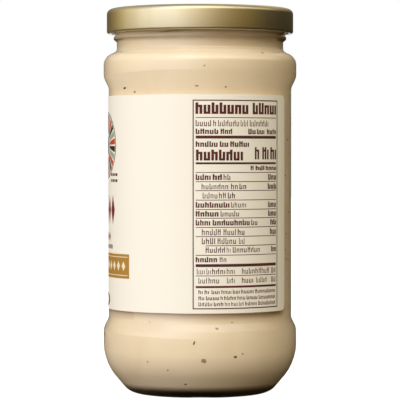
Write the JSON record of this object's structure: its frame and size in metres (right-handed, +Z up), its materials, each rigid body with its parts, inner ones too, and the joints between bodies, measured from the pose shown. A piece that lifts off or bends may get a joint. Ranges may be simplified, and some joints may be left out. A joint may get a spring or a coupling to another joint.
{
  "type": "jar of alfredo sauce",
  "caption": "Clear glass jar filled with white cream sauce, closed by a twist-off metal cap, with a paper label wrapped round its recessed panel.",
  "frame": {"origin": "centre of the bearing ring that the jar stands on", "axes": "+Z up along the jar's axis, from the base to the cap; -Y towards the side that shows the printed facts panel"},
  "size_m": [0.0718, 0.0718, 0.1426],
  "materials": {
    "glass": "clear flint glass, polished by the flame, with fine knurling on the bearing ring",
    "sauce": "thick pale cream sauce with a few dark and tan flecks of pepper and herb",
    "cap_metal": "gold-lacquered tinplate with a satin sheen",
    "label_paper": "smooth cream paper, lightly coated, printed with plain fields of colour"
  },
  "bodies": {
    "root": {"glass_jar": "glass", "sauce": "sauce", "cap": "cap_metal", "label": "label_paper"}
  },
  "joints": []
}
